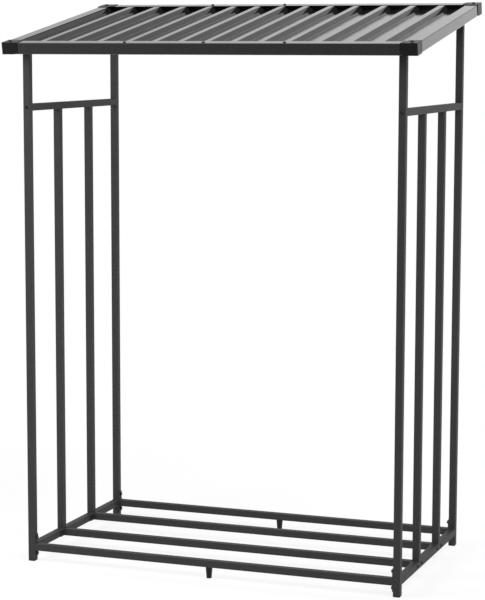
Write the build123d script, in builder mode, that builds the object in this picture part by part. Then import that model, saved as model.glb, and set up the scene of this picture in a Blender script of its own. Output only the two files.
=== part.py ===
from build123d import *
import math
import os

# Square steel tube of the whole frame
tube = 25.0
tube_wall = 1.2
tube_corner = 1.0

# Frame on plan, over the outer faces of the posts
frame_width = 1400.0
frame_depth = 780.0

# Heights above the ground to the underside of the rails
lower_rail_height = 40.0
upper_rail_height = 1631.0

# Upright bars of each side, with the floor bars in line with them
bar_spacing = 266.0

# Welded end plates of the rails that run from side to side
end_plate = 3.0
end_plate_length = 80.0
end_plate_rise = 6.0

# Plastic feet
foot_pad = 5.0
foot_corner = 1.5
foot_edge = 1.5
foot_plug = 18.0
foot_clearance = 0.15
centre_foot_top = 25.0
centre_foot_base = 18.0

# Roof over the frame, its overhangs measured on plan from the faces of the posts
roof_tilt_degrees = 9.64
roof_front_height = 1869.0
side_overhang = 51.0
front_overhang = 58.0
back_overhang = 37.5

# Folded edge trim of the roof
trim_height = 40.0
trim_flange = 44.0
trim_lip = 15.0
trim_sheet = 1.2
trim_bend = 2.5

# Trapezoidal roof sheet
sheet = 0.6
sheet_bend = 2.0
sheet_clearance = 0.5
rib_height = 18.0
rib_top = 22.0
rib_flank = 8.0
edge_flat = 34.0
lap_spacing = 290.5
lap_margin = 4.0
inner_pitches = 3
outer_pitches = 4

# Roof bearers on the post tops, folded channels open below
bearer_width = 40.0
bearer_sheet = 1.5
bearer_clearance = 0.3

# Plastic corner caps of the roof
cap_wall = 2.0
cap_reach = 58.0
cap_rounding = 14.0
cap_corner = 2.5
cap_edge = 1.0

# Places worked out from the sizes
tilt = math.radians(roof_tilt_degrees)
roof_width = frame_width + 2 * side_overhang
roof_length = (front_overhang + frame_depth + back_overhang) / math.cos(tilt)
roof_front = -(roof_length * math.cos(tilt) + (trim_height - cap_wall) * math.sin(tilt)) / 2
front_face = roof_front + front_overhang
frame_middle = front_face + frame_depth / 2
post_x = (frame_width - tube) / 2
post_y = (frame_depth - tube) / 2
side_clear = frame_depth - 2 * tube
front_clear = frame_width - 2 * tube
lower_rail_centre = lower_rail_height + tube / 2
upper_rail_centre = upper_rail_height + tube / 2
lower_rail_top = lower_rail_height + tube
tube_bore = tube - 2 * tube_wall
foot_width = tube_bore - 2 * foot_clearance
up_slope = (0, math.cos(tilt), math.sin(tilt))
down_slope = (0, -math.cos(tilt), -math.sin(tilt))
roof_normal = (0, -math.sin(tilt), math.cos(tilt))
roof = Plane(origin=(0, roof_front, roof_front_height), x_dir=(1, 0, 0), z_dir=roof_normal)
rib_level = -trim_sheet
pan_level = rib_level - rib_height
pan_underside = pan_level - sheet
lip_level = -trim_height + trim_sheet
bearer_height = pan_underside - lip_level
post_top = pan_underside - bearer_sheet
sheet_edge = roof_width / 2 - trim_bend - sheet_clearance
outermost_rib = sheet_edge - edge_flat + rib_top / 2
inner_pitch = lap_spacing / inner_pitches
outer_pitch = (outermost_rib - lap_spacing) / outer_pitches


def write(piece, label):
    piece.part.label = label
    export_step(piece.part, f"parts/{label}.step")


def tube_section():
    RectangleRounded(tube, tube, tube_corner)
    Rectangle(tube_bore, tube_bore, mode=Mode.SUBTRACT)


def square_tube(plane, length):
    with BuildPart() as run:
        with BuildSketch(plane):
            tube_section()
        extrude(amount=length)
    return run


# Upright tube, its top cut to the slope of the roof where it meets the bearer
def post(x, y):
    with BuildPart() as upright:
        with BuildSketch(Plane.XY.offset(foot_pad)):
            with Locations((x, y)):
                tube_section()
        extrude(amount=roof_front_height + roof_length)
        split(bisect_by=roof.offset(post_top), keep=Keep.BOTTOM)
    return upright


# Moulded pad under a post, with a plug that fits inside the tube
def foot_cap(x, y):
    with BuildPart() as cap:
        with BuildSketch(Plane.XY) as pad:
            with Locations((x, y)):
                Rectangle(tube, tube)
            chamfer(pad.vertices(), foot_corner)
        extrude(amount=foot_pad)
        chamfer(cap.faces().sort_by(Axis.Z)[0].edges(), foot_edge)
        with BuildSketch(Plane.XY.offset(foot_pad)):
            with Locations((x, y)):
                Rectangle(foot_width, foot_width)
        extrude(amount=foot_plug)
    return cap


# Tapered round foot under the middle of a floor rail
def centre_foot(y):
    with BuildPart() as foot:
        with BuildSketch(Plane(origin=(0, y, 0), x_dir=(1, 0, 0), z_dir=(0, -1, 0))):
            with BuildLine():
                Polyline(
                    (0, 0),
                    (centre_foot_base / 2, 0),
                    (centre_foot_top / 2, lower_rail_height),
                    (0, lower_rail_height),
                    close=True,
                )
            make_face()
        revolve(axis=Axis((0, y, 0), (0, 0, 1)))
    return foot


# Tube from side to side with a welded plate on each end for its two bolts
def plated_rail(y, height, length, plate_deep, plate_tall, plate_rise):
    start = -length / 2
    with BuildPart() as rail:
        with BuildSketch(Plane(origin=(start + end_plate, y, height), x_dir=(0, 1, 0), z_dir=(1, 0, 0))):
            tube_section()
        extrude(amount=length - 2 * end_plate)
        for plate_start in (start, -start - end_plate):
            plate_plane = Plane(
                origin=(plate_start, y, height + plate_rise), x_dir=(0, 1, 0), z_dir=(1, 0, 0)
            )
            with BuildSketch(plate_plane):
                Rectangle(plate_deep, plate_tall)
            extrude(amount=end_plate)
    return rail


# Folded channel across the post tops, carrying the pans of the sheet
def bearer(y):
    slope_run = (y - roof_front - math.sin(tilt) * -post_top) / math.cos(tilt)
    half_length = roof_width / 2 - trim_bend - bearer_clearance
    channel_plane = Plane(
        origin=roof.from_local_coords((-half_length, slope_run, pan_underside)),
        x_dir=up_slope,
        z_dir=(1, 0, 0),
    )
    with BuildPart() as channel:
        with BuildSketch(channel_plane):
            with BuildLine():
                Polyline(
                    (-bearer_width / 2, -bearer_height),
                    (-bearer_width / 2, 0),
                    (bearer_width / 2, 0),
                    (bearer_width / 2, -bearer_height),
                )
                offset(amount=bearer_sheet, side=Side.RIGHT)
            make_face()
        extrude(amount=2 * half_length)
    return channel


# One roof panel, ribs at the given places, that laps over the panel before it or ends in a flat edge
def roof_panel(rib_places, laps_over, lapped):
    half_top = rib_top / 2
    first = rib_places[0]
    last = rib_places[-1]
    start = first - half_top + lap_margin if laps_over else -sheet_edge
    end = last + half_top - lap_margin if lapped else sheet_edge
    end_level = rib_level - sheet if lapped else rib_level
    outline = [
        (start, rib_level),
        (first + half_top, rib_level),
        (first + half_top + rib_flank, pan_level),
    ]
    for place in rib_places[1:-1]:
        outline += [
            (place - half_top - rib_flank, pan_level),
            (place - half_top, rib_level),
            (place + half_top, rib_level),
            (place + half_top + rib_flank, pan_level),
        ]
    outline += [
        (last - half_top - rib_flank, pan_level),
        (last - half_top, end_level),
        (end, end_level),
    ]
    front_edge = trim_bend + sheet_clearance
    section = Plane(
        origin=roof.from_local_coords((0, front_edge, 0)), x_dir=(1, 0, 0), z_dir=down_slope
    )
    with BuildPart() as panel:
        with BuildSketch(section):
            with BuildLine():
                FilletPolyline(*outline, radius=sheet_bend)
                offset(amount=sheet, side=Side.RIGHT)
            make_face()
        extrude(amount=-(roof_length - 2 * front_edge))
    return panel


# Folded edge trim along one side of the roof, mitred at both corners
def roof_trim(corner, along, inward, length):
    start = roof.from_local_coords(corner)
    along_dir = roof.from_local_coords(along) - roof.origin
    inward_dir = roof.from_local_coords(inward) - roof.origin
    end = start + along_dir * length
    with BuildPart() as trim:
        with BuildSketch(Plane(origin=start, x_dir=inward_dir, z_dir=along_dir)):
            with BuildLine():
                FilletPolyline(
                    (trim_flange, 0),
                    (0, 0),
                    (0, -trim_height),
                    (trim_lip, -trim_height),
                    radius=trim_bend,
                )
                offset(amount=trim_sheet, side=Side.LEFT)
            make_face()
        extrude(amount=length)
        split(bisect_by=Plane(origin=start, z_dir=along_dir - inward_dir), keep=Keep.TOP)
        split(bisect_by=Plane(origin=end, z_dir=-along_dir - inward_dir), keep=Keep.TOP)
    return trim


# Moulded corner cap over the mitre, a top plate and two skirts with a rounded lower corner
def corner_cap(corner, along, inward):
    origin = roof.from_local_coords(corner)
    along_dir = roof.from_local_coords(along) - roof.origin
    inward_dir = roof.from_local_coords(inward) - roof.origin
    upright = Axis(origin, roof_normal)
    with BuildPart() as cap:
        with BuildSketch(Plane(origin=origin, x_dir=along_dir, z_dir=-inward_dir)):
            with BuildLine():
                Polyline(
                    (-cap_wall, 0),
                    (cap_reach, 0),
                    (cap_reach, -trim_height),
                    (-cap_wall, -trim_height),
                    close=True,
                )
            make_face()
        extrude(amount=cap_wall)
        skirt_end = cap.edges().filter_by(Axis(origin, inward_dir)).group_by(upright)[0]
        fillet(skirt_end.sort_by(Axis(origin, along_dir))[-1], cap_rounding)
        mirror(about=Plane(origin=origin, z_dir=along_dir - inward_dir))
        with BuildSketch(Plane(origin=origin, x_dir=along_dir, z_dir=roof_normal)):
            with BuildLine():
                Polyline(
                    (-cap_wall, -cap_wall),
                    (cap_reach, -cap_wall),
                    (cap_reach, trim_flange),
                    (trim_flange, trim_flange),
                    (trim_flange, cap_reach),
                    (-cap_wall, cap_reach),
                    close=True,
                )
            make_face()
        extrude(amount=cap_wall)
        corner_edges = cap.edges().filter_by(upright)
        fillet(corner_edges.sort_by(Axis(origin, along_dir + inward_dir))[0], cap_corner)
        chamfer(cap.faces().sort_by(upright)[-1].edges(), cap_edge)
    return cap


os.makedirs("parts", exist_ok=True)

sides = {"left": -post_x, "right": post_x}
ends = {"front": frame_middle - post_y, "back": frame_middle + post_y}
bars = {"front": frame_middle - bar_spacing / 2, "back": frame_middle + bar_spacing / 2}

# Posts and their feet
for end, y in ends.items():
    for side, x in sides.items():
        write(post(x, y), f"{end}_{side}_post")
        write(foot_cap(x, y), f"{end}_{side}_foot_cap")

# Side rails between the posts, with two upright bars between the rails
for side, x in sides.items():
    for level, height in (("lower", lower_rail_centre), ("upper", upper_rail_centre)):
        rail_start = (x, frame_middle - side_clear / 2, height)
        rail_plane = Plane(origin=rail_start, x_dir=(1, 0, 0), z_dir=(0, 1, 0))
        write(square_tube(rail_plane, side_clear), f"{side}_{level}_rail")
    for bar, y in bars.items():
        bar_plane = Plane.XY.offset(lower_rail_top).move(Location((x, y, 0)))
        write(square_tube(bar_plane, upper_rail_height - lower_rail_top), f"{side}_{bar}_bar")

# Floor rails between the posts and floor bars between the lower side rails
for end, y in ends.items():
    rail = plated_rail(y, lower_rail_centre, front_clear, tube, end_plate_length, end_plate_rise)
    write(rail, f"{end}_floor_rail")
    write(centre_foot(y), f"{end}_centre_foot")
for bar, y in bars.items():
    write(plated_rail(y, lower_rail_centre, front_clear, end_plate_length, tube, 0), f"{bar}_floor_bar")

# Roof bearers on the posts
for end, y in ends.items():
    write(bearer(y), f"{end}_roof_bearer")

# Roof panels from left to right, each lapping over the one before
outer_run = [lap_spacing + outer_pitch * step for step in range(outer_pitches + 1)]
inner_run = [inner_pitch * step for step in range(inner_pitches + 1)]
write(roof_panel([-place for place in reversed(outer_run)], False, True), "left_outer_roof_panel")
write(roof_panel([-place for place in reversed(inner_run)], True, True), "left_inner_roof_panel")
write(roof_panel(inner_run, True, True), "right_inner_roof_panel")
write(roof_panel(outer_run, True, False), "right_outer_roof_panel")

# Edge trims and corner caps, going round the roof from the front left corner
half_roof = roof_width / 2
edges = {
    "front": ((-half_roof, 0, 0), (1, 0, 0), (0, 1, 0), roof_width),
    "right": ((half_roof, 0, 0), (0, 1, 0), (-1, 0, 0), roof_length),
    "back": ((half_roof, roof_length, 0), (-1, 0, 0), (0, -1, 0), roof_width),
    "left": ((-half_roof, roof_length, 0), (0, -1, 0), (1, 0, 0), roof_length),
}
corners = {"front": "front_left", "right": "front_right", "back": "back_right", "left": "back_left"}
for side, (corner, along, inward, length) in edges.items():
    write(roof_trim(corner, along, inward, length), f"{side}_roof_trim")
    write(corner_cap(corner, along, inward), f"{corners[side]}_corner_cap")
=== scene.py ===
import math

import bpy
from mathutils import Matrix, Vector


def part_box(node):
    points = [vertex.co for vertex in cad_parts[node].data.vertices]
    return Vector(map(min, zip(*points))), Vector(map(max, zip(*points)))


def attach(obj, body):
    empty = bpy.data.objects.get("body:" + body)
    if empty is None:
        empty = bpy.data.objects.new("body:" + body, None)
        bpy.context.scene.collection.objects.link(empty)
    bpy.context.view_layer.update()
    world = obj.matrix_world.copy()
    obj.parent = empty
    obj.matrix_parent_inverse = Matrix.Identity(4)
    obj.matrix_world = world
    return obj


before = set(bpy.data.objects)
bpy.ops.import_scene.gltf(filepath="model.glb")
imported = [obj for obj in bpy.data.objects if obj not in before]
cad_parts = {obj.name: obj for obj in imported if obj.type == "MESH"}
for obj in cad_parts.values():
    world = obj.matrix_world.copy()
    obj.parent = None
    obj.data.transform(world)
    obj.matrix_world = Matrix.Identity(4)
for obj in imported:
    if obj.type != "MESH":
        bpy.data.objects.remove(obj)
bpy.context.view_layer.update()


# Four upright posts of square steel tube, the back pair taller to give the roof its fall.
# The tube is sawn to length and powder coated in satin anthracite: a faint orange peel,
# a slightly cloudy sheen, and a thinner, paler coat along the rounded corners.
# That pale corner colour is partly the thin, worn coat and partly a painted highlight.
ends = ("front", "back")
sides = ("left", "right")
corners = [f"{end}_{side}" for end in ends for side in sides]


class Reading:
    """One output of a node. A sum on it adds a Math node to the same finish."""

    def __init__(self, finish, socket):
        self.finish = finish
        self.socket = socket

    def other_output(self, name):
        return Reading(self.finish, self.socket.node.outputs[name])

    def maths(self, operation, first, second):
        return self.finish.node("ShaderNodeMath", {"operation": operation}, {0: first, 1: second})

    def __add__(self, other):
        return self.maths("ADD", self, other)

    def __radd__(self, other):
        return self.maths("ADD", other, self)

    def __sub__(self, other):
        return self.maths("SUBTRACT", self, other)

    def __rsub__(self, other):
        return self.maths("SUBTRACT", other, self)

    def __mul__(self, other):
        return self.maths("MULTIPLY", self, other)

    def __rmul__(self, other):
        return self.maths("MULTIPLY", other, self)

    def __neg__(self):
        return self.maths("MULTIPLY", self, -1)

    def __abs__(self):
        return self.maths("ABSOLUTE", self, 0)


class Finish:
    """The nodes of one finish, all added by one method."""

    def __init__(self, owner):
        owner.use_nodes = True
        self.tree = owner.node_tree
        self.tree.nodes.clear()

    def node(self, kind, settings, sockets, output=0):
        made = self.tree.nodes.new(kind)
        for name, value in settings.items():
            setattr(made, name, value)
        for name, value in sockets.items():
            if isinstance(value, Reading):
                self.tree.links.new(value.socket, made.inputs[name])
            else:
                made.inputs[name].default_value = value
        return Reading(self, made.outputs[output]) if made.outputs else None


def grain(finish, place, length, detail=2.0):
    """Soft random mottling, about one blotch in each length of the surface, from 0 to 1."""
    return finish.node("ShaderNodeTexNoise", {}, {"Vector": place, "Scale": 1 / length, "Detail": detail})


def blended(finish, share, first, second):
    """The first colour where the share is 0 and the second where it is 1."""
    # The colour sockets of a Mix node, by their places in its lists.
    factor, first_colour, second_colour, mixed_colour = 0, 6, 7, 2
    sockets = {factor: share, first_colour: first, second_colour: second}
    return finish.node("ShaderNodeMix", {"data_type": "RGBA"}, sockets, mixed_colour)


def rising(finish, value, low, high):
    """0 below the low value, 1 above the high one, and a smooth rise between them."""
    limits = {"Value": value, "From Min": low, "From Max": high}
    return finish.node("ShaderNodeMapRange", {"interpolation_type": "SMOOTHSTEP"}, limits)


def corner_turn(finish, tilt=0.0):
    """How far the surface turns away from the flats of a piece that leans by the tilt about X."""
    facing = finish.node("ShaderNodeNewGeometry", {}, {}, "Normal")
    about_x = {"rotation_type": "X_AXIS"}
    level = finish.node("ShaderNodeVectorRotate", about_x, {"Vector": facing, "Angle": -tilt})
    unsigned = finish.node("ShaderNodeVectorMath", {"operation": "ABSOLUTE"}, {0: level})
    sideways = finish.node("ShaderNodeSeparateXYZ", {}, {0: unsigned})
    flattest = sideways.maths("MAXIMUM", sideways, sideways.other_output("Y"))
    flattest = sideways.maths("MAXIMUM", flattest, sideways.other_output("Z"))
    return 1 - flattest


def surface(finish, sockets):
    """Closes a finish with its shader and its output."""
    shader = finish.node("ShaderNodeBsdfPrincipled", {}, sockets)
    finish.node("ShaderNodeOutputMaterial", {}, {"Surface": shader})


def relief(finish, height, strength, depth, under=None):
    """Fine bumps of a depth in metres, laid over the coarser ones under them, if any."""
    sockets = {"Height": height, "Strength": strength, "Distance": depth}
    if under:
        sockets["Normal"] = under
    return finish.node("ShaderNodeBump", {}, sockets)


def powder_coat():
    deep_anthracite = (0.0260, 0.0261, 0.0264, 1)
    pale_anthracite = (0.0340, 0.0341, 0.0345, 1)
    # A paler grey for the corners, partly thin worn coat and partly a painted highlight.
    thin_coat_and_painted_highlight = (0.068, 0.0682, 0.069, 1)
    orange_peel = 0.0026
    peel_strength = 0.4
    peel_depth = 0.0003
    fine_grain = 0.0005
    grain_height = 0.6
    cloud = 0.16
    wear_and_highlight_patch = 0.03
    wear_and_highlight_reach = (0.03, 0.28)
    least_wear_and_highlight = 0.35
    wear_and_highlight_spread = 0.5
    wear_and_highlight_paleness = 0.6
    satin = 0.54
    cloud_dulling = 0.10
    grain_dulling = 0.06
    wear_polish = 0.10
    sheen = 0.24
    material = bpy.data.materials.new("anthracite_powder_coat")
    coat = Finish(material)
    place = coat.node("ShaderNodeTexCoord", {}, {}, "Object")
    peel = grain(coat, place, orange_peel)
    speck = grain(coat, place, fine_grain)
    clouds = grain(coat, place, cloud, detail=4.0)
    patches = least_wear_and_highlight + wear_and_highlight_spread * grain(coat, place, wear_and_highlight_patch)
    # The corner mask marks worn, thin coat and also a painted highlight along the corners.
    wear_and_painted_highlight = rising(coat, corner_turn(coat), *wear_and_highlight_reach) * patches
    tone = blended(coat, clouds, deep_anthracite, pale_anthracite)
    surface(coat, {
        "Base Color": blended(coat, wear_and_painted_highlight * wear_and_highlight_paleness, tone, thin_coat_and_painted_highlight),
        "Roughness": satin + cloud_dulling * clouds + grain_dulling * speck - wear_polish * wear_and_painted_highlight,
        "Specular IOR Level": sheen,
        "Normal": relief(coat, peel + grain_height * speck, peel_strength, peel_depth),
    })
    return material


def dress(names, material):
    """Gives the solids of these names their finish."""
    for name in names:
        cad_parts[name].material_slots[0].material = material


frame_coat = powder_coat()
dress([f"{corner}_post" for corner in corners], frame_coat)


# A square black cap plugs the foot of each post and keeps the cut tube off the ground.
# It is injection moulded in polypropylene with a fine spark-eroded grain,
# rubbed a little smoother and greyer along its edges.
def moulded_plastic():
    black = (0.0055, 0.0055, 0.0058, 1)
    rubbed = (0.022, 0.022, 0.0225, 1)
    mould_grain = 0.0009
    pit_strength = 0.35
    pit_depth = 0.0002
    flow_mark = 0.035
    rub_reach = (0.05, 0.28)
    rub_paleness = 0.5
    eggshell = 0.34
    pit_dulling = 0.08
    flow_dulling = 0.06
    sheen = 0.22
    material = bpy.data.materials.new("black_moulded_plastic")
    moulding = Finish(material)
    place = moulding.node("ShaderNodeTexCoord", {}, {}, "Object")
    pits = grain(moulding, place, mould_grain, detail=3.0)
    flow = grain(moulding, place, flow_mark)
    edge = rising(moulding, corner_turn(moulding), *rub_reach)
    surface(moulding, {
        "Base Color": blended(moulding, edge * flow * rub_paleness, black, rubbed),
        "Roughness": eggshell + pit_dulling * pits + flow_dulling * flow,
        "Specular IOR Level": sheen,
        "Normal": relief(moulding, pits, pit_strength, pit_depth),
    })
    return material


plastic = moulded_plastic()
dress([f"{corner}_foot_cap" for corner in corners], plastic)


# Each side is a ladder of two rails between the posts, with two upright bars between the rails.
# All are the same coated tube; the bars are welded to the rails, and the lower rails to the posts,
# with small rippled beads that were laid before coating and are dressed down on the flush faces.
bead = 0.0017
bead_sides = 8
bead_ripple = 0.0022
ripple_steps = 4
ripple_foot_share = 0.88
ripple_rise_share = 0.24
bead_sink = 0.0015
bead_stand = 0.0004
smooth_limit = math.radians(35)
right_way = Vector((1, 0, 0))
back_way = Vector((0, 1, 0))
up_way = Vector((0, 0, 1))


def weld_bead(centre, across, along, half_across, half_along):
    """A rippled bead round a rectangle about the centre, as points and faces."""
    normal = across.cross(along)
    corners_of_run = [(half_across, -half_along), (half_across, half_along),
                      (-half_across, half_along), (-half_across, -half_along)]
    points = []
    travelled = 0.0
    rings = 0
    for number, (start_across, start_along) in enumerate(corners_of_run):
        end_across, end_along = corners_of_run[(number + 1) % len(corners_of_run)]
        run = Vector((end_across - start_across, end_along - start_along))
        steps = max(1, round(run.length / bead_ripple * ripple_steps))
        out = (across * run.y - along * run.x).normalized()
        for step in range(steps):
            share = step / steps
            spot = centre + across * (start_across + run.x * share) + along * (start_along + run.y * share)
            ripple = (travelled + run.length * share) / bead_ripple % 1
            swell = bead * (ripple_foot_share + ripple_rise_share * ripple)
            for side in range(bead_sides):
                angle = math.tau * side / bead_sides
                points.append(spot + (out * math.cos(angle) + normal * math.sin(angle)) * swell)
            rings += 1
        travelled += run.length
    faces = []
    for ring in range(rings):
        following = (ring + 1) % rings
        for side in range(bead_sides):
            beside = (side + 1) % bead_sides
            faces.append((ring * bead_sides + side, following * bead_sides + side,
                          following * bead_sides + beside, ring * bead_sides + beside))
    return points, faces


def piece(name, solids, material):
    """One mesh of the given solids, each a list of points and a list of faces, riding on the frame."""
    points = []
    faces = []
    for solid_points, solid_faces in solids:
        start = len(points)
        points += solid_points
        faces += [[start + corner for corner in face] for face in solid_faces]
    mesh = bpy.data.meshes.new(name)
    mesh.from_pydata(points, [], faces)
    mesh.polygons.foreach_set("use_smooth", [True] * len(mesh.polygons))
    mesh.set_sharp_from_angle(angle=smooth_limit)
    mesh.materials.append(material)
    made = bpy.data.objects.new(name, mesh)
    bpy.context.scene.collection.objects.link(made)
    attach(made, "root")


dress([f"{side}_{level}_rail" for side in sides for level in ("lower", "upper")], frame_coat)
dress([f"{side}_{end}_bar" for side in sides for end in ends], frame_coat)
post_low, post_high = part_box("front_left_post")
half_tube = (post_high.x - post_low.x) / 2
flush_half = half_tube - bead_sink
fillet_half = half_tube + bead_stand
side_welds = []
for side in sides:
    for end in ends:
        low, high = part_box(f"{side}_{end}_bar")
        middle = (low + high) / 2
        for level in (low.z, high.z):
            joint = Vector((middle.x, middle.y, level))
            side_welds.append(weld_bead(joint, right_way, back_way, flush_half, fillet_half))
    low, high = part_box(f"{side}_lower_rail")
    middle = (low + high) / 2
    for reach in (low.y, high.y):
        joint = Vector((middle.x, reach, middle.z))
        side_welds.append(weld_bead(joint, right_way, up_way, flush_half, fillet_half))
piece("side_frame_welds", side_welds, frame_coat)


# One button-head bolt through each post draws up the end of the upper rail behind it.
# The bolts are blackened steel, with a rolled washer, a low dome and a hexagon socket.
washer_half = 0.0062
washer_thick = 0.0012
edge_break_share = 0.25
button_half = 0.0053
button_height = 0.0032
dome_foot = math.radians(12)
dome_crown = math.radians(68)
dome_steps = 6
socket_mouth_half = 0.00224
socket_half = 0.0020
socket_lead = 0.0003
socket_depth = 0.0021
hexagon_flats = 6
no_flats = 0
head_sides = 36
golden_turn = math.radians(137.5)


def turned(rings):
    """A small head about +Z, as points and faces. A ring is half its width, its height and its flats."""
    points = []
    for half, height, flats in rings:
        for step in range(head_sides):
            angle = math.tau * step / head_sides
            reach = half
            if flats:
                sector = math.tau / flats
                reach = half / math.cos((angle + sector / 2) % sector - sector / 2)
            points.append(Vector((reach * math.cos(angle), reach * math.sin(angle), height)))
    faces = [list(reversed(range(head_sides)))]
    for ring in range(len(rings) - 1):
        for step in range(head_sides):
            beside = (step + 1) % head_sides
            lower = ring * head_sides
            upper = lower + head_sides
            faces.append([lower + step, lower + beside, upper + beside, upper + step])
    last = (len(rings) - 1) * head_sides
    faces.append([last + step for step in range(head_sides)])
    return points, faces


def placed(solid, spot, outward, turn):
    """A head moved to its spot, facing outward and turned about its own axis."""
    points, faces = solid
    facing = outward.to_track_quat("Z", "Y").to_matrix() @ Matrix.Rotation(turn, 3, "Z")
    return [spot + facing @ point for point in points], faces


def washer(half, thick):
    """Rings of a flat washer with broken edges, as the start of a head."""
    edge = thick * edge_break_share
    outline = ((half - edge, 0), (half, edge), (half, thick - edge), (half - edge, thick))
    return [(out, height, no_flats) for out, height in outline]


def button_head():
    """A washer under a low dome with a hexagon socket."""
    top = washer_thick + button_height
    rings = washer(washer_half, washer_thick)
    rings.append((button_half, washer_thick, no_flats))
    for step in range(dome_steps + 1):
        lean = dome_foot + (dome_crown - dome_foot) * step / dome_steps
        out = button_half * math.cos(lean) / math.cos(dome_foot)
        rise = button_height * math.sin(lean) / math.sin(dome_crown)
        rings.append((out, washer_thick + rise, no_flats))
    rings.append((socket_mouth_half, top, hexagon_flats))
    rings.append((socket_half, top - socket_lead, hexagon_flats))
    rings.append((socket_half, top - socket_depth, hexagon_flats))
    return turned(rings)


def blackened_steel():
    black_oxide = (0.010, 0.010, 0.0105, 1)
    rubbed_steel = (0.055, 0.054, 0.052, 1)
    oxide_mottle = 0.002
    mottle_strength = 0.2
    mottle_depth = 0.0001
    rub_reach = (0.5, 0.8)
    metal_share = 0.35
    half_gloss = 0.30
    mottle_dulling = 0.2
    material = bpy.data.materials.new("blackened_steel")
    oxide = Finish(material)
    place = oxide.node("ShaderNodeTexCoord", {}, {}, "Object")
    mottle = grain(oxide, place, oxide_mottle, detail=3.0)
    surface(oxide, {
        "Base Color": blended(oxide, rising(oxide, mottle, *rub_reach), black_oxide, rubbed_steel),
        "Metallic": metal_share,
        "Roughness": half_gloss + mottle_dulling * mottle,
        "Normal": relief(oxide, mottle, mottle_strength, mottle_depth),
    })
    return material


steel = blackened_steel()
rail_low, rail_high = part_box("left_upper_rail")
rail_middle = (rail_low.z + rail_high.z) / 2
upper_bolts = []
for number, corner in enumerate(corners):
    low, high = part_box(f"{corner}_post")
    face, outward = (low.y, -back_way) if corner.startswith("front") else (high.y, back_way)
    spot = Vector(((low.x + high.x) / 2, face, rail_middle))
    upper_bolts.append(placed(button_head(), spot, outward, number * golden_turn))
piece("upper_rail_bolts", upper_bolts, steel)


# Front and back floor rails run between the posts, and two floor bars between the lower side rails.
# Each is coated tube with a flat plate welded on both ends; the rails' plates stand on edge
# against the posts and the bars' plates lie along the side rails.
end_plate = 0.003
dress([f"{end}_floor_rail" for end in ends], frame_coat)
dress([f"{end}_floor_bar" for end in ends], frame_coat)
side_low, side_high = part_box("left_lower_rail")
floor_level = (side_low.z + side_high.z) / 2
floor_welds = []
for end in ends:
    for kind, across, along in (("rail", back_way, up_way), ("bar", up_way, back_way)):
        low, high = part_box(f"{end}_floor_{kind}")
        for plate_face in (low.x + end_plate, high.x - end_plate):
            joint = Vector((plate_face, (low.y + high.y) / 2, floor_level))
            floor_welds.append(weld_bead(joint, across, along, flush_half, fillet_half))
piece("floor_welds", floor_welds, frame_coat)


# Two hexagon bolts with washers hold each plate of a floor rail to its post, above and below the tube.
# Button-head bolts go through each lower side rail into the plates of the floor bars,
# with a washer and a nut on the inside; all are blackened steel.
hexagon_half = 0.0050
hexagon_height = 0.0042
hexagon_chamfer = 0.0005
dish_half = 0.0036
dish_floor_half = 0.0033
wide_washer_half = 0.0080
wide_washer_thick = 0.0016
nut_height = 0.0050
thread_half = 0.0030
thread_stand = 0.0025
thread_end_half = 0.0024
thread_end_stand = 0.0030
rail_bolt_spread = 0.029
bar_bolt_spread = 0.028


def hexagon_head(height, threaded):
    """A washer, a chamfered hexagon and, above it, the tip of a thread or a shallow forged dish."""
    top = wide_washer_thick + height
    rings = washer(wide_washer_half, wide_washer_thick)
    rings.append((hexagon_half, wide_washer_thick, hexagon_flats))
    rings.append((hexagon_half, top - hexagon_chamfer, hexagon_flats))
    rings.append((hexagon_half, top, no_flats))
    if threaded:
        rings.append((thread_half, top, no_flats))
        rings.append((thread_half, top + thread_stand, no_flats))
        rings.append((thread_end_half, top + thread_end_stand, no_flats))
    else:
        rings.append((dish_half, top, no_flats))
        rings.append((dish_floor_half, top - hexagon_chamfer, no_flats))
    return turned(rings)


left_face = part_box("left_lower_rail")[0].x
right_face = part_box("right_lower_rail")[1].x
floor_bolts = []
for end in ends:
    low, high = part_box(f"{end}_floor_rail")
    middle = (low + high) / 2
    for plate_face, inward in ((low.x + end_plate, right_way), (high.x - end_plate, -right_way)):
        for rise in (-rail_bolt_spread, rail_bolt_spread):
            spot = Vector((plate_face, middle.y, middle.z + rise))
            turn = len(floor_bolts) * golden_turn
            floor_bolts.append(placed(hexagon_head(hexagon_height, threaded=False), spot, inward, turn))
    low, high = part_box(f"{end}_floor_bar")
    middle = (low + high) / 2
    for outer_face, plate_face, inward in ((left_face, low.x + end_plate, right_way),
                                           (right_face, high.x - end_plate, -right_way)):
        for shift in (-bar_bolt_spread, bar_bolt_spread):
            head_spot = Vector((outer_face, middle.y + shift, middle.z))
            nut_spot = Vector((plate_face, middle.y + shift, middle.z))
            turn = len(floor_bolts) * golden_turn
            floor_bolts.append(placed(button_head(), head_spot, -inward, turn))
            floor_bolts.append(placed(hexagon_head(nut_height, threaded=True), nut_spot, inward, turn))
piece("floor_bolts", floor_bolts, steel)


# A tapered round foot stands under the middle of each floor rail and keeps the rail from sagging.
# It is moulded in the same black plastic as the post caps and pushed into the rail from below.
dress([f"{end}_centre_foot" for end in ends], plastic)


# Two folded channels lie across the post tops, hidden inside the roof, and carry the pans of the sheet.
# They are folded from thin steel and coated like the frame.
dress([f"{end}_roof_bearer" for end in ends], frame_coat)


# The roof is four panels of trapezoidal steel sheet that lap at a rib, painted in the coil before rolling.
# The paint is a semi-gloss anthracite with faint roll-forming streaks down the slope
# and a slight waviness in the flats that makes the reflections wander.
roof_tilt = math.radians(9.64)
across_roof = 0
down_slope = 1


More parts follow.
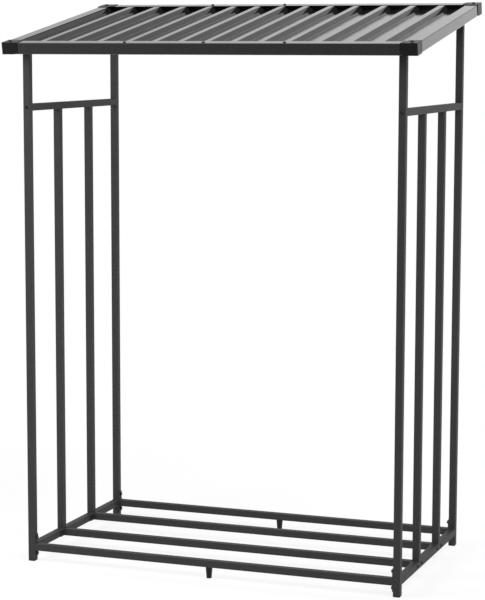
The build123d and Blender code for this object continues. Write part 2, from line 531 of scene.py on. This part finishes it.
def coil_coat(name, streak_way):
    deep_anthracite = (0.0160, 0.0162, 0.0172, 1)
    pale_anthracite = (0.0215, 0.0217, 0.0229, 1)
    bend_grey = (0.042, 0.0425, 0.044, 1)
    streak_width = 0.004
    streak_length = 0.5
    wave = 0.14
    wave_strength = 0.35
    wave_depth = 0.0022
    fine_grain = 0.0007
    grain_strength = 0.12
    grain_depth = 0.0002
    bend_reach = (0.10, 0.28)
    bend_paleness = 0.5
    semi_gloss = 0.07
    streak_dulling = 0.04
    grain_dulling = 0.02
    material = bpy.data.materials.new(name)
    coat = Finish(material)
    place = coat.node("ShaderNodeTexCoord", {}, {}, "Object")
    stretch = [1 / streak_width] * 3
    stretch[streak_way] = 1 / streak_length
    lines = coat.node("ShaderNodeVectorMath", {"operation": "MULTIPLY"}, {0: place, 1: stretch})
    streaks = grain(coat, lines, length=1.0, detail=3.0)
    waves = grain(coat, place, wave, detail=1.0)
    speck = grain(coat, place, fine_grain)
    bent = rising(coat, corner_turn(coat, roof_tilt), *bend_reach)
    tone = blended(coat, streaks, deep_anthracite, pale_anthracite)
    waviness = relief(coat, waves, wave_strength, wave_depth)
    surface(coat, {
        "Base Color": blended(coat, bent * bend_paleness, tone, bend_grey),
        "Roughness": semi_gloss + streak_dulling * streaks + grain_dulling * speck,
        "Normal": relief(coat, speck + streaks, grain_strength, grain_depth, under=waviness),
    })
    return material


panel_coat = coil_coat("anthracite_sheet_coat", down_slope)
dress([f"{side}_{part}_roof_panel" for side in sides for part in ("outer", "inner")], panel_coat)


# Folded trims frame the sheet on all four edges, each with a top flange, a face and a lower lip.
# They are brake-folded from the same pre-painted coil, so their streaks run along the fold.
long_trim_coat = coil_coat("anthracite_long_trim_coat", across_roof)
short_trim_coat = coil_coat("anthracite_short_trim_coat", down_slope)
dress([f"{end}_roof_trim" for end in ends], long_trim_coat)
dress([f"{side}_roof_trim" for side in sides], short_trim_coat)


# A black corner cap covers the mitre at each corner of the roof, a top plate with two skirts.
# It is moulded plastic, held down by one button-head screw through its top.
trim_flange = 0.044
cap_top = 0.002
cap_screw_inset = 0.022
dress([f"{corner}_corner_cap" for corner in corners], plastic)
trim_low, trim_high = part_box("front_roof_trim")
roof_half = trim_high.x
roof_front = trim_low.y
roof_front_height = trim_high.z - trim_flange * math.sin(roof_tilt)
back_low, back_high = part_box("back_roof_trim")
roof_length = (back_high.z - roof_front_height) / math.sin(roof_tilt)
roof_normal = Vector((0, -math.sin(roof_tilt), math.cos(roof_tilt)))
up_slope = Vector((0, math.cos(roof_tilt), math.sin(roof_tilt)))


def on_roof(x, slope, rise):
    """A point over the roof: across, up the slope from its front edge, and out from its top face."""
    return Vector((x, roof_front, roof_front_height)) + up_slope * slope + roof_normal * rise


cap_screws = []
for slope in (cap_screw_inset, roof_length - cap_screw_inset):
    for x in (cap_screw_inset - roof_half, roof_half - cap_screw_inset):
        spot = on_roof(x, slope, cap_top)
        cap_screws.append(placed(button_head(), spot, roof_normal, len(cap_screws) * golden_turn))
piece("corner_cap_screws", cap_screws, steel)


# Self-drilling screws go down through the trims where the panels lap, three at the front and two at the back.
# Each has a flat rubber seal under a pressed flange, and a low rounded head with a square recess.
# They are painted black; each ring below is a share of its part's half width and of its height.
seal_half = 0.0062
seal_thick = 0.0010
seal_shares = ((0.94, 0.0), (1.0, 0.4), (0.9, 1.0))
flange_half = 0.0055
flange_thick = 0.0008
flange_shares = ((1.0, 0.0), (1.0, 0.4))
screw_half = 0.0040
screw_height = 0.0019
dome_shares = ((1.2, 0.0), (1.0, 0.3), (0.9, 0.75), (0.6, 1.0))
recess_shares = ((0.45, 1.0), (0.3, 0.5))
recess_flats = 4
screw_slope = 0.016
lap_spacing = 0.2905
front_laps = (-1, 0, 1)
back_laps = (-1, 0)


def roofing_screw():
    """The seal, the flange, the rounded head and its recess, one above the other."""
    crown = seal_thick + flange_thick
    rings = [(seal_half * out, seal_thick * rise, no_flats) for out, rise in seal_shares]
    rings += [(flange_half * out, seal_thick + flange_thick * rise, no_flats) for out, rise in flange_shares]
    rings += [(screw_half * out, crown + screw_height * rise, no_flats) for out, rise in dome_shares]
    rings += [(screw_half * out, crown + screw_height * rise, recess_flats) for out, rise in recess_shares]
    return turned(rings)


roof_screws = []
for slope, laps in ((screw_slope, front_laps), (roof_length - screw_slope, back_laps)):
    for lap in laps:
        spot = on_roof(lap * lap_spacing, slope, rise=0.0)
        roof_screws.append(placed(roofing_screw(), spot, roof_normal, len(roof_screws) * golden_turn))
piece("roof_screws", roof_screws, steel)


# The studio floor is a plain pale disc that fades into a white surround at its rim.
# It is matt; to the camera and in reflections it shows nearly white, and it keeps a faint shadow.
floor_radius = 3.4
floor_sides = 96
floor_fade = (0.9, 2.6)
floor_lift = 0.85
pale_grey = (0.80, 0.80, 0.80, 1)
white = (1, 1, 1, 1)


def ray_kinds(finish):
    """1 for a ray straight from the camera, and 1 for a ray that a gloss or glass has sent on."""
    straight = finish.node("ShaderNodeLightPath", {}, {}, "Is Camera Ray")
    glossy = straight.other_output("Is Glossy Ray")
    mirrored = straight.maths("MAXIMUM", glossy, straight.other_output("Is Transmission Ray"))
    return straight, mirrored


rim_angles = [math.tau * step / floor_sides for step in range(floor_sides)]
floor_rim = [(floor_radius * math.cos(angle), floor_radius * math.sin(angle), 0.0) for angle in rim_angles]
floor_mesh = bpy.data.meshes.new("studio_floor")
floor_mesh.from_pydata(floor_rim, [], [list(range(floor_sides))])
floor_material = bpy.data.materials.new("pale_floor")
pale = Finish(floor_material)
floor_place = pale.node("ShaderNodeTexCoord", {}, {}, "Object")
from_middle = pale.node("ShaderNodeVectorMath", {"operation": "LENGTH"}, {0: floor_place}, "Value")
fade = floor_lift + (1 - floor_lift) * rising(pale, from_middle, *floor_fade)
straight, mirrored = ray_kinds(pale)
shown = fade * straight.maths("MAXIMUM", straight, mirrored)
matt = pale.node("ShaderNodeBsdfDiffuse", {}, {"Color": pale_grey})
bright = pale.node("ShaderNodeEmission", {}, {"Color": white, "Strength": 1.0})
mixed = pale.node("ShaderNodeMixShader", {}, {0: shown, 1: matt, 2: bright})
pale.node("ShaderNodeOutputMaterial", {}, {"Surface": mixed})
floor_mesh.materials.append(floor_material)
floor = bpy.data.objects.new("studio_floor", floor_mesh)
bpy.context.scene.collection.objects.link(floor)


# The room is white to the camera and gives a plain even light to everything in it.
# In reflections it is a little brighter at the back and low down, dimmer overhead and in front,
# with a pale wall to the front left. A reach holds two limits of one part of a direction, from -1 to 1.
room_level = 0.66
plain_level = 0.30
back_reach = (0.0, 0.5)
backdrop_middle = -0.12
backdrop_reach = (0.12, 0.46)
backdrop_glow = 0.42
low_reach = (0.03, 0.20)
low_glow = 0.50
overhead_reach = (0.40, 0.80)
overhead_dim = 0.2
front_reach = (0.5, 0.9)
front_level = 0.26
front_left_reach = (0.28, 0.46)
front_left_glow = 1.3
ground_reach = (-0.12, 0.0)
world = bpy.data.worlds.new("studio_room")
bpy.context.scene.world = world
room = Finish(world)
way = room.node("ShaderNodeTexCoord", {}, {}, "Generated")
rightward = room.node("ShaderNodeSeparateXYZ", {}, {0: way}, "X")
backward = rightward.other_output("Y")
upward = rightward.other_output("Z")
backdrop = (1 - rising(room, abs(rightward - backdrop_middle), *backdrop_reach)) * backdrop_glow
low_light = (1 - rising(room, upward, *low_reach)) * low_glow
at_back = rising(room, backward, *back_reach) * (backdrop + low_light)
above_ground = rising(room, upward, *ground_reach)
front_left = rising(room, -rightward, *front_left_reach) * above_ground * front_left_glow
at_front = rising(room, -backward, *front_reach) * (front_left + (front_level - room_level))
overhead = overhead_dim * rising(room, upward, *overhead_reach)
reflected = room_level + at_back + at_front - overhead
straight, mirrored = ray_kinds(room)
strength = straight + mirrored * reflected + (1 - straight - mirrored) * plain_level
glow = room.node("ShaderNodeBackground", {}, {"Color": white, "Strength": strength})
room.node("ShaderNodeOutputWorld", {}, {"Surface": glow})


# Three soft square lamps: the main one high on the right, a fill at roof height on the left in front,
# and one behind for the back of the frame. Only the main one shows in reflections.
def soft_lamp(name, place, aim, size, power, in_reflections):
    lamp_data = bpy.data.lights.new(name, "AREA")
    lamp_data.energy = power
    lamp_data.size = size
    lamp = bpy.data.objects.new(name, lamp_data)
    lamp.location = place
    lamp.rotation_mode = "QUATERNION"
    lamp.rotation_quaternion = (aim - place).to_track_quat("-Z", "Y")
    lamp.visible_camera = False
    lamp.visible_glossy = in_reflections
    bpy.context.scene.collection.objects.link(lamp)


main_place = Vector((3.2, -1.6, 4.6))
main_aim = Vector((0, 0, 1.0))
main_size = 2.6
main_power = 165.0
soft_lamp("main_lamp", main_place, main_aim, main_size, main_power, in_reflections=True)
fill_place = Vector((-2.1, -1.8, 2.3))
fill_aim = Vector((-0.7, 0, 1.5))
fill_size = 1.6
fill_power = 95.0
soft_lamp("fill_lamp", fill_place, fill_aim, fill_size, fill_power, in_reflections=False)
back_place = Vector((0.5, 3.3, 2.2))
back_aim = Vector((-0.3, 0, 1.1))
back_size = 1.6
back_power = 90.0
soft_lamp("back_lamp", back_place, back_aim, back_size, back_power, in_reflections=False)


# The camera stands where the photograph was taken, to the right of the open front at about head height.
# It has a long lens and no shift, and its place and turn were fitted to the edges of the frame and the roof.
camera_place = Vector((2.47847, -6.75601, 1.86156))
camera_turn = math.radians(20.2455)
camera_dip = math.radians(7.2725)
camera_roll = math.radians(0.1226)
focal_pixels = 1993.67
picture_height = 600
camera_data = bpy.data.cameras.new("photo_camera")
camera_data.sensor_fit = "AUTO"
camera_data.lens = camera_data.sensor_width * focal_pixels / picture_height
camera = bpy.data.objects.new("photo_camera", camera_data)
view_way = Vector((-math.sin(camera_turn) * math.cos(camera_dip),
                   math.cos(camera_turn) * math.cos(camera_dip), -math.sin(camera_dip)))
level_right = Vector((math.cos(camera_turn), math.sin(camera_turn), 0))
level_up = level_right.cross(view_way)
right = level_right * math.cos(camera_roll) + level_up * math.sin(camera_roll)
up = level_up * math.cos(camera_roll) - level_right * math.sin(camera_roll)
camera.matrix_world = Matrix.Translation(camera_place) @ Matrix((right, up, -view_way)).transposed().to_4x4()
bpy.context.scene.collection.objects.link(camera)
bpy.context.scene.camera = camera
bpy.context.scene.view_settings.view_transform = "Standard"
